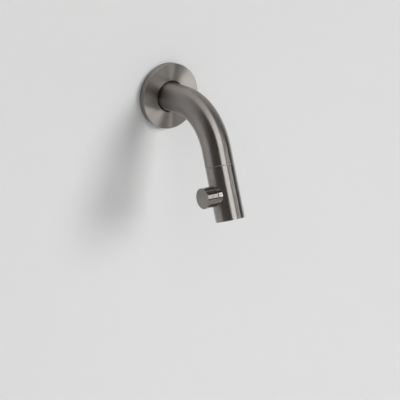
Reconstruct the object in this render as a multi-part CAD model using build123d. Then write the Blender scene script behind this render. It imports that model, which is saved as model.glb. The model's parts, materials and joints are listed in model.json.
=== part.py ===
"""Wall-mounted cold-water basin tap: a bent round spout with a quarter-turn valve in its end.

Millimetres. The origin is the centre of the spout where it meets the finished wall. The wall is the plane
Y = 0, the room lies towards -Y and +Z is up. The knob is on the -X side.
"""

import os
from math import cos, radians, sin, sqrt, tan

from build123d import *

# Spout pipe
pipe_diameter = 24.0
pipe_wall = 1.5
wall_leg = 25.0  # straight run from the wall to the bend
spout_stand_off = 0.5  # of the pipe's end, on the nipple's collar, from the finished wall
bend_radius = 46.5  # to the centre of the pipe
bend_angle = 71.0
head_leg = 13.5  # straight run from the bend to the valve head
joint_chamfer = 0.35  # the fine groove where pipe and head meet

# Wall rosette
rosette_diameter = 55.0
rosette_depth = 6.0
rosette_plate = 1.8
rosette_rim = 1.8
rosette_hub_wall = 3.0
rosette_hub_depth = 3.6
rosette_gap = 1.4  # dark ring between the pipe and the rosette
rosette_ring_section = 2.3
rosette_ring_inset = 0.55  # from the front of the rosette to the rubber ring
rosette_edge = 0.25

# Wall nipple, screwed into the fitting in the wall with a hexagon key
thread_diameter = 20.955  # G 1/2
thread_length = 12.5
thread_chamfer = 1.0
fitting_recess = 5.0  # how far the fitting's face lies behind the finished wall
gasket_thickness = 1.5
gasket_width = 1.6
gasket_clearance = 0.22
relief_length = 3.0
relief_depth = 1.2
inlet_bore = 12.0
spigot_diameter = 16.0
spigot_length = 15.3  # from the collar
spigot_bore = 8.6
hex_key = 10.0
hex_depth = 5.5
spigot_ring_section = 1.5
spigot_ring_places = (8.0, 12.0)
spigot_lead = 0.6

# Pipe socket, brazed into the wall end of the pipe
socket_room = 0.7  # between the spigot's end and the socket's step
socket_stop = 3.5  # length of the narrower bore beyond the step
socket_bore = 10.0

# Grub screw that locks the spout on the nipple, from below
grub_diameter = 4.0
grub_place = 3.2
grub_sink = 0.3
grub_tip_diameter = 2.0
grub_tip_length = 1.3
grub_key = 2.0
grub_key_depth = 1.8
grub_groove_depth = 1.2

# Connector, brazed into the head end of the pipe, and its thread in the valve head
connector_bush_length = 12.0
connector_thread = 18.0
connector_thread_length = 7.0
connector_land = 16.0
connector_land_length = 3.0
connector_bore = 9.0
connector_ring_section = 1.1
inlet_chamber = 3.0

# Valve head
head_length = 45.0
knob_place = 21.7  # from the outlet to the axis of the knob
boss_diameter = 17.0
boss_height = 0.4  # of the boss's flat end above the side of the head
boss_edge = 0.25
outlet_edge = 0.4
cartridge_diameter = 12.9
seat_place = 3.2  # of the valve seat, beyond the axis of the head
seat_pocket = 7.2
seat_pocket_depth = 6.2
channel_diameter = 4.6
channel_offset = 7.2
outlet_passage = 7.2
outlet_passage_offset = 1.5
outlet_chamber = 14.4
outlet_chamber_depth = 3.0

# Quarter-turn cartridge: places are from the axis of the head towards the knob
body_wall = 1.25
body_set_back = 0.2
body_slot_width = 1.6
body_slot_depth = 0.8
window_width = 5.0
window_length = 2.8
body_ring_place = 7.4
body_ring_section = 1.05
seal_length = 1.6
seal_width = 0.75
fixed_disc_thickness = 1.8
moving_disc_thickness = 1.6
port_inner = 1.8
port_land = 0.8  # from the port to the rim of the disc
port_angle = 76.0
disc_tab_width = 1.5
disc_tab_height = 0.7
disc_gap = 0.05
stem_diameter = 6.8
flange_clearance = 0.5
flange_thickness = 1.4
key_width = 1.6
key_land = 1.3  # from the key's end to the rim of the disc
key_height = 0.8
stem_ring_section = 0.9
stem_ring_places = (5.8, 9.6)
clip_thickness = 0.5
clip_width = 1.7
clip_groove_depth = 0.8
clip_opening = 70.0
spindle_shoulder = 6.4
spline_diameter = 6.0
spline_depth = 0.4
spline_teeth = 18

# Knob
knob_diameter = 17.0
knob_reach = 11.2  # of the knob's face beyond the side of the head
knob_edge = 0.25
knob_face_thickness = 2.0
knob_mouth_diameter = 11.0
knob_mouth_depth = 1.6
glide_ring_thickness = 0.4
glide_ring_width = 1.1
knob_grub_diameter = 3.0
knob_grub_place = 5.0  # from the knob's inner end
knob_grub_angle = -45.0  # from the head's axis, turned towards the wall
knob_grub_key = 1.5
knob_grub_key_depth = 1.4

# Aerator, screwed into the outlet
aerator_thread = 18.5
aerator_depth = 10.0
aerator_recess = 0.8  # of the grid above the rim of the outlet
aerator_wall = 1.3
aerator_lip_bore = 11.0
aerator_lip_thickness = 1.0
aerator_seal_thickness = 1.5
aerator_seal_bore = 12.6
aerator_key_slots = 4
aerator_key_width = 2.0
aerator_key_depth = 0.9
grid_thickness = 2.6
grid_cell = 1.8
grid_web = 0.4
jet_disc_thickness = 1.4
jet_count = 8
jet_diameter = 1.1
jet_circle = 8.4
screen_thickness = 0.4
screen_height = 2.4
screen_rim = 0.8

# Clearances
braze_gap = 0.05
slide_gap = 0.1
turn_gap = 0.05
thread_gap = 0.05
end_gap = 0.3
ring_gap = 0.04

pipe_radius = pipe_diameter / 2
bore_radius = pipe_radius - pipe_wall
spigot_radius = spigot_diameter / 2
knob_radius = knob_diameter / 2
cartridge_radius = cartridge_diameter / 2
stem_radius = stem_diameter / 2
cavity_radius = cartridge_radius - body_wall
disc_radius = cavity_radius - slide_gap
port_outer = disc_radius - port_land
key_length = 2 * (disc_radius - key_land)

# Local frames. Along the head's axis +Z runs down to the outlet, and +X is the world's +X.
# Along the knob's axis +Z runs out to the knob's face, and +X points down the head.
bend = radians(bend_angle)
head_direction = Vector(0, -cos(bend), -sin(bend))
bend_end = Vector(0, -wall_leg - bend_radius * sin(bend), -bend_radius * (1 - cos(bend)))
joint_point = bend_end + head_direction * head_leg
knob_point = joint_point + head_direction * (head_length - knob_place)
wall_frame = Plane(origin=(0, 0, 0), x_dir=(1, 0, 0), z_dir=(0, -1, 0))
head_frame = Plane(origin=joint_point, x_dir=(1, 0, 0), z_dir=head_direction)
knob_frame = Plane(origin=knob_point, x_dir=head_direction, z_dir=(-1, 0, 0))

collar_back = gasket_thickness - fitting_recess
spigot_end = spout_stand_off + spigot_length
socket_step = spigot_end + socket_room

boss_face = pipe_radius + boss_height
body_end = boss_face - body_set_back
knob_start = boss_face + glide_ring_thickness + turn_gap
knob_end = pipe_radius + knob_reach


def turned(*outline):
    """A solid of revolution about Z from its half outline of (radius, height) points."""
    profile = make_face(Polyline(*outline, close=True))
    return revolve(Plane.XZ * profile, Axis.Z)


def rod(radius, start, end):
    """A round rod along Z."""
    return Pos(0, 0, start) * extrude(Circle(radius), end - start)


def ring(outer, inner, start, end):
    """A plain round ring along Z."""
    return rod(outer, start, end) - rod(inner, start - 1, end + 1)


def rubber_ring(middle, section, height):
    """A rubber ring as it lies when fitted, squeezed flat between its groove and its bore."""
    half = section / 2
    flat = half * tan(radians(30))
    corners = ((half, -flat), (half, flat), (0, half), (-half, flat), (-half, -flat), (0, -half))
    return turned(*((middle + across, height + along) for across, along in corners))


def sector(inner, outer, angle, start, end):
    """A ring sector centred on local Y, for ports and clip openings."""
    half = radians(angle) / 2
    reach = outer + 1
    wedge = Polyline((0, 0), (-reach * tan(half), reach), (reach * tan(half), reach), close=True)
    shape = make_face(wedge) & Circle(outer)
    if inner > 0:
        shape -= Circle(inner)
    return Pos(0, 0, start) * extrude(shape, end - start)


def hexagon(across_flats, start, end):
    """A hexagonal prism along Z, for key sockets."""
    return Pos(0, 0, start) * extrude(RegularPolygon(across_flats / 2, 6, major_radius=False), end - start)


def edges_at(solid, height, radius):
    """The round edges of one radius at one height along Z."""
    return [
        edge
        for edge in solid.edges().filter_by(GeomType.CIRCLE)
        if abs(edge.center().Z - height) < 1e-4 and abs(edge.radius - radius) < 1e-4
    ]


def place(frame, solid):
    return frame.location * solid


# Spout. The locking screw points down, square to the pipe, in the wall frame.
def grub_frame():
    return Pos(0, 0, grub_place) * Rot(90, 0, 0)


def make_spout_pipe():
    wall_run = Line((spout_stand_off, 0), (wall_leg, 0))
    curve = RadiusArc(
        wall_run @ 1,
        (wall_leg + bend_radius * sin(bend), -bend_radius * (1 - cos(bend))),
        bend_radius,
    )
    head_run = PolarLine(curve @ 1, head_leg, -bend_angle)
    side = Plane(origin=(0, 0, 0), x_dir=(0, -1, 0), z_dir=(-1, 0, 0))
    path = side * (wall_run + curve + head_run)
    section = Plane.XZ.offset(spout_stand_off) * (Circle(pipe_radius) - Circle(bore_radius))
    pipe = sweep(section, path=path)
    pipe = head_frame.to_local_coords(pipe)
    pipe = chamfer(edges_at(pipe, 0, pipe_radius), joint_chamfer)
    pipe = place(head_frame, pipe)
    screw_hole = grub_frame() * rod(grub_diameter / 2 + thread_gap, spigot_radius, pipe_radius + 1)
    return pipe - place(wall_frame, screw_hole)


def make_pipe_socket():
    outer = bore_radius - braze_gap
    bore = spigot_radius + slide_gap
    end = socket_step + socket_stop
    socket = turned(
        (bore + spigot_lead, spout_stand_off),
        (outer, spout_stand_off),
        (outer, end),
        (socket_bore / 2, end),
        (socket_bore / 2, socket_step),
        (bore, socket_step),
        (bore, spout_stand_off + spigot_lead),
    )
    screw_hole = grub_frame() * rod(grub_diameter / 2 + thread_gap, 0, pipe_radius + 1)
    return place(wall_frame, socket - screw_hole)


def make_spout_grub_screw():
    tip = spigot_radius - grub_groove_depth + turn_gap
    head = pipe_radius - grub_sink
    screw = turned(
        (0, tip),
        (grub_tip_diameter / 2, tip),
        (grub_diameter / 2, tip + grub_tip_length),
        (grub_diameter / 2, head),
        (0, head),
    )
    screw -= hexagon(grub_key, head - grub_key_depth, head + 1)
    return place(wall_frame, grub_frame() * screw)


# Wall connection, drawn along the wall frame: +Z runs into the room
def make_wall_nipple():
    thread = thread_diameter / 2
    relief = thread - relief_depth
    collar = thread + gasket_clearance + gasket_width
    thread_start = -fitting_recess - relief_length / 2
    thread_end = thread_start - thread_length
    groove_half = grub_groove_depth
    bottom = spigot_radius - grub_groove_depth
    nipple = turned(
        (0, spigot_end),
        (spigot_radius - spigot_lead, spigot_end),
        (spigot_radius, spigot_end - spigot_lead),
        (spigot_radius, grub_place + groove_half + grub_tip_diameter / 2),
        (bottom, grub_place + grub_tip_diameter / 2),
        (bottom, grub_place - grub_tip_diameter / 2),
        (spigot_radius, grub_place - groove_half - grub_tip_diameter / 2),
        (spigot_radius, spout_stand_off),
        (collar, spout_stand_off),
        (collar, collar_back),
        (relief, collar_back),
        (relief, thread_start),
        (thread, thread_start),
        (thread, thread_end + thread_chamfer),
        (thread - thread_chamfer, thread_end),
        (0, thread_end),
    )
    nipple -= rod(inlet_bore / 2, thread_end - 1, collar_back + gasket_thickness)
    nipple -= rod(spigot_bore / 2, thread_end, spigot_end)
    nipple -= hexagon(hex_key, spigot_end - hex_depth, spigot_end + 1)
    for height in spigot_ring_places:
        half = spigot_ring_section * 0.75
        nipple -= ring(
            spigot_radius + 1,
            spigot_radius + slide_gap - spigot_ring_section - 2 * ring_gap,
            height - half,
            height + half,
        )
    return place(wall_frame, nipple)


def make_inlet_gasket():
    inner = thread_diameter / 2 + gasket_clearance
    back = -fitting_recess
    return place(wall_frame, ring(inner + gasket_width, inner, back, back + gasket_thickness))


def make_nipple_o_rings():
    middle = spigot_radius + slide_gap - ring_gap - spigot_ring_section / 2
    rings = [rubber_ring(middle, spigot_ring_section, height) for height in spigot_ring_places]
    return Compound(children=[place(wall_frame, solid) for solid in rings])


def make_wall_rosette():
    outer = rosette_diameter / 2
    bore = pipe_radius + rosette_gap
    hub = bore + rosette_hub_wall
    hub_back = rosette_depth - rosette_hub_depth
    plate_back = rosette_depth - rosette_plate
    rosette = turned(
        (outer, 0),
        (outer, rosette_depth),
        (bore, rosette_depth),
        (bore, hub_back),
        (hub, hub_back),
        (hub, plate_back),
        (outer - rosette_rim, plate_back),
        (outer - rosette_rim, 0),
    )
    rosette = chamfer(edges_at(rosette, rosette_depth, outer), rosette_edge)
    rosette = chamfer(edges_at(rosette, rosette_depth, bore), rosette_edge)
    groove_front = rosette_depth - rosette_ring_inset
    groove = ring(
        pipe_radius + slide_gap + rosette_ring_section + ring_gap,
        pipe_radius,
        groove_front - rosette_ring_section - ring_gap,
        groove_front,
    )
    return place(wall_frame, rosette - groove)


def make_rosette_o_ring():
    middle = pipe_radius + slide_gap + rosette_ring_section / 2
    height = rosette_depth - rosette_ring_inset - rosette_ring_section / 2 - ring_gap / 2
    return place(wall_frame, rubber_ring(middle, rosette_ring_section, height))


# Joint between pipe and head, drawn along the head frame
def connector_ring_height():
    return connector_thread_length + connector_land_length / 2


def make_head_connector():
    bush = bore_radius - braze_gap
    thread = connector_thread / 2
    land = connector_land / 2
    tip = connector_thread_length + connector_land_length
    lead = (connector_thread - connector_land) / 4
    connector = turned(
        (connector_bore / 2, -connector_bush_length),
        (bush, -connector_bush_length),
        (bush, 0),
        (thread, 0),
        (thread, connector_thread_length - lead),
        (land, connector_thread_length),
        (land, tip),
        (connector_bore / 2, tip),
    )
    half = connector_ring_section * 0.75
    connector -= ring(
        thread,
        land + slide_gap - connector_ring_section - 2 * ring_gap,
        connector_ring_height() - half,
        connector_ring_height() + half,
    )
    return place(head_frame, connector)


def make_connector_o_ring():
    middle = connector_land / 2 + slide_gap - ring_gap - connector_ring_section / 2
    return place(head_frame, rubber_ring(middle, connector_ring_section, connector_ring_height()))


# Valve head
def make_valve_head():
    head = rod(pipe_radius, 0, head_length)
    head = chamfer(edges_at(head, 0, pipe_radius), joint_chamfer)
    head = chamfer(edges_at(head, head_length, pipe_radius), outlet_edge)
    knob_height = head_length - knob_place
    across = Plane(origin=(0, 0, knob_height), x_dir=(0, 0, 1), z_dir=(-1, 0, 0))

    boss = rod(boss_diameter / 2, 0, boss_face)
    boss = chamfer(edges_at(boss, boss_face, boss_diameter / 2), boss_edge)
    head += place(across, boss)

    # Upper end: the connector's thread, its sealing land and the chamber under it
    head -= rod(connector_thread / 2 + thread_gap, -1, connector_thread_length + thread_gap)
    land_end = connector_thread_length + connector_land_length
    head -= rod(connector_land / 2 + slide_gap, 0, land_end + inlet_chamber)

    # Cartridge bore with its seat, and the pocket behind the seat
    head -= place(across, rod(cartridge_radius + thread_gap, -seat_place, boss_face + 1))
    head -= place(across, rod(seat_pocket / 2, -seat_place - seat_pocket_depth, 0))

    # Inlet channel down to the pocket, on the side away from the knob
    head -= Pos(channel_offset, 0, 0) * rod(channel_diameter / 2, land_end, knob_height)

    # Outlet passage, chamber and the aerator's thread
    shoulder = head_length - aerator_depth
    chamber_top = shoulder - outlet_chamber_depth
    head -= Pos(-outlet_passage_offset, 0, 0) * rod(outlet_passage / 2, knob_height, chamber_top + 0.5)
    head -= rod(outlet_chamber / 2, chamber_top, shoulder + 1)
    mouth = aerator_thread / 2 + thread_gap
    head -= rod(mouth, shoulder, head_length + 1)
    head = chamfer(edges_at(head, head_length, mouth), outlet_edge)
    return place(head_frame, head)


# Quarter-turn cartridge, drawn along the knob frame
body_start = -seat_place + slide_gap
fixed_disc_start = -seat_place + seal_length
fixed_disc_end = fixed_disc_start + fixed_disc_thickness
moving_disc_start = fixed_disc_end + disc_gap
moving_disc_end = moving_disc_start + moving_disc_thickness
flange_start = moving_disc_end + disc_gap
flange_end = flange_start + flange_thickness
cavity_end = flange_end + turn_gap
clip_start = body_end + turn_gap
clip_end = clip_start + clip_thickness
spline_start = knob_start + knob_mouth_depth - end_gap
spindle_end = knob_end - knob_face_thickness - end_gap


def make_cartridge_body():
    stem_bore = stem_radius + turn_gap
    body = turned(
        (cavity_radius, body_start),
        (cartridge_radius, body_start),
        (cartridge_radius, body_end),
        (stem_bore, body_end),
        (stem_bore, cavity_end),
        (cavity_radius, cavity_end),
    )
    body = chamfer(edges_at(body, body_end, cartridge_radius), boss_edge)
    for side in (-1, 1):
        window_place = moving_disc_start + window_length / 2
        body -= Pos(side * cartridge_radius, 0, window_place) * Box(
            cartridge_radius, window_width, window_length
        )
        notch_end = fixed_disc_end + turn_gap
        body -= Pos(0, side * cartridge_radius, notch_end) * Box(
            disc_tab_width + 2 * turn_gap, 3 * body_wall, 2 * (notch_end - body_start)
        )
    # the slot for the spanner that screws the body in
    body -= Pos(0, 0, body_end) * Box(3 * cartridge_radius, body_slot_width, 2 * body_slot_depth)
    half = body_ring_section * 0.75
    body -= ring(
        cartridge_radius + 1,
        cartridge_radius + thread_gap - body_ring_section - 2 * ring_gap,
        body_ring_place - half,
        body_ring_place + half,
    )
    return place(knob_frame, body)


def make_cartridge_o_ring():
    middle = cartridge_radius + thread_gap - ring_gap - body_ring_section / 2
    return place(knob_frame, rubber_ring(middle, body_ring_section, body_ring_place))


def make_cartridge_seal():
    inner = disc_radius - seal_width
    lip = seal_width / 3
    seal = turned(
        (inner, -seat_place + lip),
        (inner + lip, -seat_place),
        (disc_radius, -seat_place),
        (disc_radius, fixed_disc_start),
        (inner + lip, fixed_disc_start),
        (inner, fixed_disc_start - lip),
    )
    return place(knob_frame, seal)


def make_fixed_disc():
    disc = rod(disc_radius, fixed_disc_start, fixed_disc_end)
    for side in (-1, 1):
        disc += Pos(0, side * disc_radius, (fixed_disc_start + fixed_disc_end) / 2) * Box(
            disc_tab_width, 2 * disc_tab_height, fixed_disc_thickness
        )
    for turn in (90, 270):
        disc -= Rot(0, 0, turn) * sector(
            port_inner, port_outer, port_angle, fixed_disc_start - 1, fixed_disc_end + 1
        )
    return place(knob_frame, disc)


def make_moving_disc():
    radius = disc_radius - turn_gap
    disc = rod(radius, moving_disc_start, moving_disc_end)
    for turn in (0, 180):
        disc -= Rot(0, 0, turn) * sector(
            port_inner, radius + 1, port_angle, moving_disc_start - 1, moving_disc_end + 1
        )
    slot = Box(key_length + 4 * turn_gap, key_width + 2 * turn_gap, 2 * (key_height + disc_gap))
    disc -= Pos(0, 0, moving_disc_end) * slot
    return place(knob_frame, disc)


def spline_outline(extra):
    """The serrated end of the spindle. extra widens it for the socket that it fits."""
    tip = spline_diameter / 2 + extra
    root = tip - spline_depth
    points = []
    for tooth in range(spline_teeth):
        for share, radius in ((0, root), (0.5, tip)):
            angle = radians(360 * (tooth + share) / spline_teeth)
            points.append((radius * cos(angle), radius * sin(angle)))
    return make_face(Polyline(*points, close=True))


def make_spindle():
    flange = cavity_radius - flange_clearance
    clip_groove = stem_radius - clip_groove_depth
    spindle = turned(
        (0, flange_start),
        (flange, flange_start),
        (flange, flange_end),
        (stem_radius, flange_end),
        (stem_radius, clip_start),
        (clip_groove, clip_start),
        (clip_groove, clip_end + turn_gap),
        (spindle_shoulder / 2, clip_end + turn_gap),
        (spindle_shoulder / 2, spline_start),
        (0, spline_start),
    )
    spindle += Pos(0, 0, spline_start) * extrude(spline_outline(0), spindle_end - spline_start)
    spindle += Pos(0, 0, flange_start - key_height / 2) * Box(key_length, key_width, key_height)
    for height in stem_ring_places:
        half = stem_ring_section * 0.75
        spindle -= ring(
            stem_radius + 1,
            stem_radius + turn_gap - stem_ring_section - 2 * ring_gap,
            height - half,
            height + half,
        )
    return place(knob_frame, spindle)


def make_spindle_o_rings():
    middle = stem_radius + turn_gap - ring_gap - stem_ring_section / 2
    rings = [rubber_ring(middle, stem_ring_section, height) for height in stem_ring_places]
    return Compound(children=[place(knob_frame, solid) for solid in rings])


def make_spindle_clip():
    inner = stem_radius - clip_groove_depth + turn_gap
    clip = ring(inner + clip_width, inner, clip_start, clip_end)
    clip -= sector(0, inner + clip_width + 1, clip_opening, clip_start - 1, clip_end + 1)
    return place(knob_frame, clip)


def make_knob_glide_ring():
    outer = boss_diameter / 2 - boss_edge
    return place(
        knob_frame,
        ring(outer, outer - glide_ring_width, boss_face, boss_face + glide_ring_thickness),
    )


def knob_grub_frame(height):
    return Pos(0, 0, height) * Rot(0, 0, knob_grub_angle) * Rot(0, 90, 0)


def make_knob():
    knob = rod(knob_radius, knob_start, knob_end)
    knob = chamfer(edges_at(knob, knob_end, knob_radius), knob_edge)
    knob = chamfer(edges_at(knob, knob_start, knob_radius), boss_edge)
    knob -= rod(knob_mouth_diameter / 2, knob_start - 1, knob_start + knob_mouth_depth)
    socket_depth = knob_end - knob_face_thickness - knob_start
    knob -= Pos(0, 0, knob_start) * extrude(spline_outline(2 * turn_gap), socket_depth)
    knob -= knob_grub_frame(knob_start + knob_grub_place) * rod(
        knob_grub_diameter / 2 + thread_gap, 0, knob_radius + 1
    )
    return place(knob_frame, knob)


def make_knob_grub_screw():
    tip = spline_diameter / 2 + turn_gap
    head = knob_radius - grub_sink
    screw = rod(knob_grub_diameter / 2, tip, head)
    screw -= hexagon(knob_grub_key, head - knob_grub_key_depth, head + 1)
    return place(knob_frame, knob_grub_frame(knob_start + knob_grub_place) * screw)


# Aerator, drawn along the head frame
aerator_radius = aerator_thread / 2
aerator_top = head_length - aerator_depth + aerator_seal_thickness
aerator_end = head_length - aerator_recess
grid_start = aerator_end - grid_thickness
jet_disc_start = aerator_top + aerator_lip_thickness
aerator_bore = aerator_radius - aerator_wall


def make_aerator_housing():
    lip = aerator_lip_bore / 2
    housing = turned(
        (lip, aerator_top),
        (aerator_radius, aerator_top),
        (aerator_radius, aerator_end),
        (aerator_bore, aerator_end),
        (aerator_bore, jet_disc_start),
        (lip, jet_disc_start),
    )
    for index in range(aerator_key_slots):
        slot = Pos(aerator_radius, 0, aerator_end) * Box(
            2 * aerator_wall, aerator_key_width, 2 * aerator_key_depth
        )
        housing -= Rot(0, 0, 45 + 360 * index / aerator_key_slots) * slot
    return place(head_frame, housing)


def make_aerator_seal():
    start = head_length - aerator_depth
    return place(
        head_frame, ring(aerator_radius - slide_gap, aerator_seal_bore / 2, start, aerator_top)
    )


def dome_radius(half_width, height):
    return (half_width**2 + height**2) / (2 * height)


def make_aerator_screen():
    """Domed strainer that stands in the seal's bore, with its rim on the housing's lip."""
    outer = aerator_seal_bore / 2 - slide_gap
    rim = outer - screen_rim
    top = aerator_top - screen_height
    rim_top = aerator_top - screen_thickness
    outside = RadiusArc((0, top), (rim, rim_top), -dome_radius(rim, rim_top - top))
    inside = RadiusArc(
        (rim - screen_thickness, aerator_top),
        (0, top + screen_thickness),
        dome_radius(rim - screen_thickness, rim_top - top),
    )
    edge = Polyline(outside @ 1, (outer, rim_top), (outer, aerator_top), inside @ 0)
    profile = make_face([outside, edge, inside, Line(inside @ 1, outside @ 0)])
    return place(head_frame, revolve(Plane.XZ * profile, Axis.Z))


def make_aerator_jet_disc():
    outer = aerator_bore - slide_gap
    disc = rod(outer, jet_disc_start, jet_disc_start + jet_disc_thickness)
    for jet in PolarLocations(jet_circle / 2, jet_count):
        disc -= jet * rod(jet_diameter / 2, jet_disc_start - 1, jet_disc_start + jet_disc_thickness + 1)
    return place(head_frame, disc)


def make_aerator_grid():
    """Honeycomb that straightens the stream, held in the housing's bore."""
    outer = aerator_bore - slide_gap
    pitch = grid_cell + grid_web
    corner = grid_cell / sqrt(3)
    reach = int(outer / pitch) + 1
    cell = RegularPolygon(grid_cell / 2, 6, major_radius=False, rotation=30)
    cells = []
    for row in range(-reach, reach + 1):
        for column in range(-reach, reach + 1):
            x = pitch * (column + 0.5 * (row % 2))
            y = pitch * row * sqrt(3) / 2
            if sqrt(x * x + y * y) + corner < outer - grid_web:
                cells.append(Pos(x, y) * cell)
    grid = Pos(0, 0, grid_start) * extrude(Circle(outer) - cells, grid_thickness)
    return place(head_frame, grid)


makers = {
    "spout_pipe": make_spout_pipe,
    "pipe_socket": make_pipe_socket,
    "spout_grub_screw": make_spout_grub_screw,
    "wall_nipple": make_wall_nipple,
    "inlet_gasket": make_inlet_gasket,
    "nipple_o_rings": make_nipple_o_rings,
    "wall_rosette": make_wall_rosette,
    "rosette_o_ring": make_rosette_o_ring,
    "head_connector": make_head_connector,
    "connector_o_ring": make_connector_o_ring,
    "valve_head": make_valve_head,
    "cartridge_body": make_cartridge_body,
    "cartridge_o_ring": make_cartridge_o_ring,
    "cartridge_seal": make_cartridge_seal,
    "fixed_disc": make_fixed_disc,
    "moving_disc": make_moving_disc,
    "spindle": make_spindle,
    "spindle_o_rings": make_spindle_o_rings,
    "spindle_clip": make_spindle_clip,
    "knob_glide_ring": make_knob_glide_ring,
    "knob": make_knob,
    "knob_grub_screw": make_knob_grub_screw,
    "aerator_housing": make_aerator_housing,
    "aerator_seal": make_aerator_seal,
    "aerator_screen": make_aerator_screen,
    "aerator_jet_disc": make_aerator_jet_disc,
    "aerator_grid": make_aerator_grid,
}

os.makedirs("parts", exist_ok=True)
for name, make in makers.items():
    export_step(make(), f"parts/{name}.step")
print("knob axis at", tuple(round(value, 4) for value in knob_point))
print("outlet centre at", tuple(round(value, 4) for value in joint_point + head_direction * head_length))
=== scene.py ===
import json
from math import atan2, cos, pi, radians, sin, tan

import bmesh
import bpy
from mathutils import Matrix, Vector

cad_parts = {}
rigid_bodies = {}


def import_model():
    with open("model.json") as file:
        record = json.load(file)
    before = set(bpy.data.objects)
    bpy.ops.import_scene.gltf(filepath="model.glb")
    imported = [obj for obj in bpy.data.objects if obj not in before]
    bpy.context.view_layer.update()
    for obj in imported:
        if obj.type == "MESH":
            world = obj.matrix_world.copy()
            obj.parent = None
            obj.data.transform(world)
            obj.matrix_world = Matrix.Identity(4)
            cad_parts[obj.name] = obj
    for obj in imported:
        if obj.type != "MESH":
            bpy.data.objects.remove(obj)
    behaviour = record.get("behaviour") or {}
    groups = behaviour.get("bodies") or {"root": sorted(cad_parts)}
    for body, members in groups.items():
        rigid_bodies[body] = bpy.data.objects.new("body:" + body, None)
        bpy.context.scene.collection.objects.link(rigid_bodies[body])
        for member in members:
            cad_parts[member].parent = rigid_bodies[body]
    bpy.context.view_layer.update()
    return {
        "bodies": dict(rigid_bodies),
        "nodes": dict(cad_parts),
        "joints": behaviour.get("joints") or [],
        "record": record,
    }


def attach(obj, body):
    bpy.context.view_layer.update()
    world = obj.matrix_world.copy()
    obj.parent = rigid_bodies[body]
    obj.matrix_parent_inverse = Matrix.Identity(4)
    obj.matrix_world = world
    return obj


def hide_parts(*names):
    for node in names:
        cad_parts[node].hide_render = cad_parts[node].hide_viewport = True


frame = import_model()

scene = bpy.context.scene
mm = 0.001  # pieces are modelled in millimetres and placed in metres
near = 0.01  # mm, how exactly a point has to lie on an edge or a face to count as on it
hair = 0.001  # mm, places that differ by less are the same place
mergeGap = 0.0001  # mm, corners closer than this become one
overrun = 1.0  # mm, how far a cutter runs past what it cuts
softEdge = 0.2  # mm, the small rounding of a machined or moulded edge
sharpTurn = radians(40)  # faces that meet at more than this keep a sharp edge between them
sides = {"large": 128, "middle": 96, "rod": 64, "small": 48}  # straight sides round a full turn
print("frame loaded:", len(frame["nodes"]), "nodes")


# Places, all worked out from the spout's own sizes
spout = {
    "pipe": 24.0, "wall": 1.5, "wallLeg": 25.0, "standOff": 0.5, "bendRadius": 46.5, "bendAngle": 71.0,
    "headLeg": 13.5, "headLength": 45.0, "knobPlace": 21.7, "jointBevel": 0.35,
    "ringSteps": 160, "bendSteps": 40,
}


def axesFrame(origin, xAxis, zAxis):
    x, z = Vector(xAxis), Vector(zAxis)
    turn = Matrix((x, z.cross(x), z)).transposed().to_4x4()
    return Matrix.Translation(origin) @ turn


bend = radians(spout["bendAngle"])
headDown = Vector((0, -cos(bend), -sin(bend)))
bendEnd = Vector((
    0, -spout["wallLeg"] - spout["bendRadius"] * sin(bend), -spout["bendRadius"] * (1 - cos(bend)),
))
jointPoint = bendEnd + headDown * spout["headLeg"]
knobPoint = jointPoint + headDown * (spout["headLength"] - spout["knobPlace"])
wallFrame = axesFrame((0, 0, 0), (1, 0, 0), (0, -1, 0))  # z comes out of the wall, y is up
headFrame = axesFrame(jointPoint, (1, 0, 0), headDown)  # z runs down to the outlet
knobFrame = axesFrame(knobPoint, headDown, (-1, 0, 0))  # z runs out to the knob's face


# Colour and node helpers
def hexColour(code):
    channels = [int(code[i:i + 2], 16) / 255 for i in (1, 3, 5)]
    return [c / 12.92 if c <= 0.04045 else ((c + 0.055) / 1.055) ** 2.4 for c in channels] + [1.0]


def addNode(tree, kind, inputs=None, **settings):
    node = tree.nodes.new("ShaderNode" + kind)
    for name, value in settings.items():
        setattr(node, name, value)
    for key, value in (inputs or {}).items():
        if isinstance(value, bpy.types.NodeSocket):
            tree.links.new(value, node.inputs[key])
        else:
            node.inputs[key].default_value = value
    return node


def newMaterial(name):
    material = bpy.data.materials.new(name)
    material.use_nodes = True
    material.node_tree.nodes.clear()
    return material, material.node_tree


# Stainless steel under a dark vapour coating, brushed round the turned parts. The fine marks run round the
# piece, so reflections stay crisp round it and are drawn out along it, and the coating is never quite even.
gunmetal = {
    "colour": "#9b9692", "deepColour": "#8d8783", "roughness": 0.30, "roughSpread": 0.03, "anisotropy": 1.0,
    "markWidth": 0.45,  # mm, drawn coarser than the real grit of about 0.1 mm so that it shows
    "markDrift": 0.03,  # how much a mark changes with each mm round the piece
    "bandRatio": 7, "bandDrift": 0.02,  # the same for the broader bands, each as wide as 7 marks
    "cloudSize": 14.0,  # mm, uneven coating
    "markDepth": 0.010,  # mm
    "markStrength": 0.15,
    "toneRange": (0.7, 1.3), "roughRange": (0.6, 1.4),  # marks and bands added up, from least to most
    "toneShare": 0.6,  # how far they tint the coating
}
# The sides of the knob and its boss come straight from a fine cut on the lathe, which gives narrow and almost
# mirror-sharp bands
fineGunmetal = {**gunmetal, "roughness": 0.10, "roughSpread": 0.015, "markWidth": 0.30}
# On the chamfers of the joint a paler, rougher metal is a painted highlight: it paints in the pale line of
# light along the joint
paintedRimHighlight = {
    **gunmetal, "colour": "#bdb8b3", "deepColour": "#aba6a1", "roughness": 0.48, "anisotropy": 0.0,
    "markWidth": 0.30,
}
# The brass nipple and the steel screws show the rings that the lathe's tool left, because nothing is polished
# that is out of sight once it is fitted
ringedBrass = {
    **gunmetal, "colour": "#d8b873", "deepColour": "#b8934f", "roughness": 0.32, "anisotropy": 0.6,
    "markWidth": 0.35, "markStrength": 0.3,
}
ringedSteel = {**ringedBrass, "colour": "#b4b1ac", "deepColour": "#96938e", "roughness": 0.28}


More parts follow.
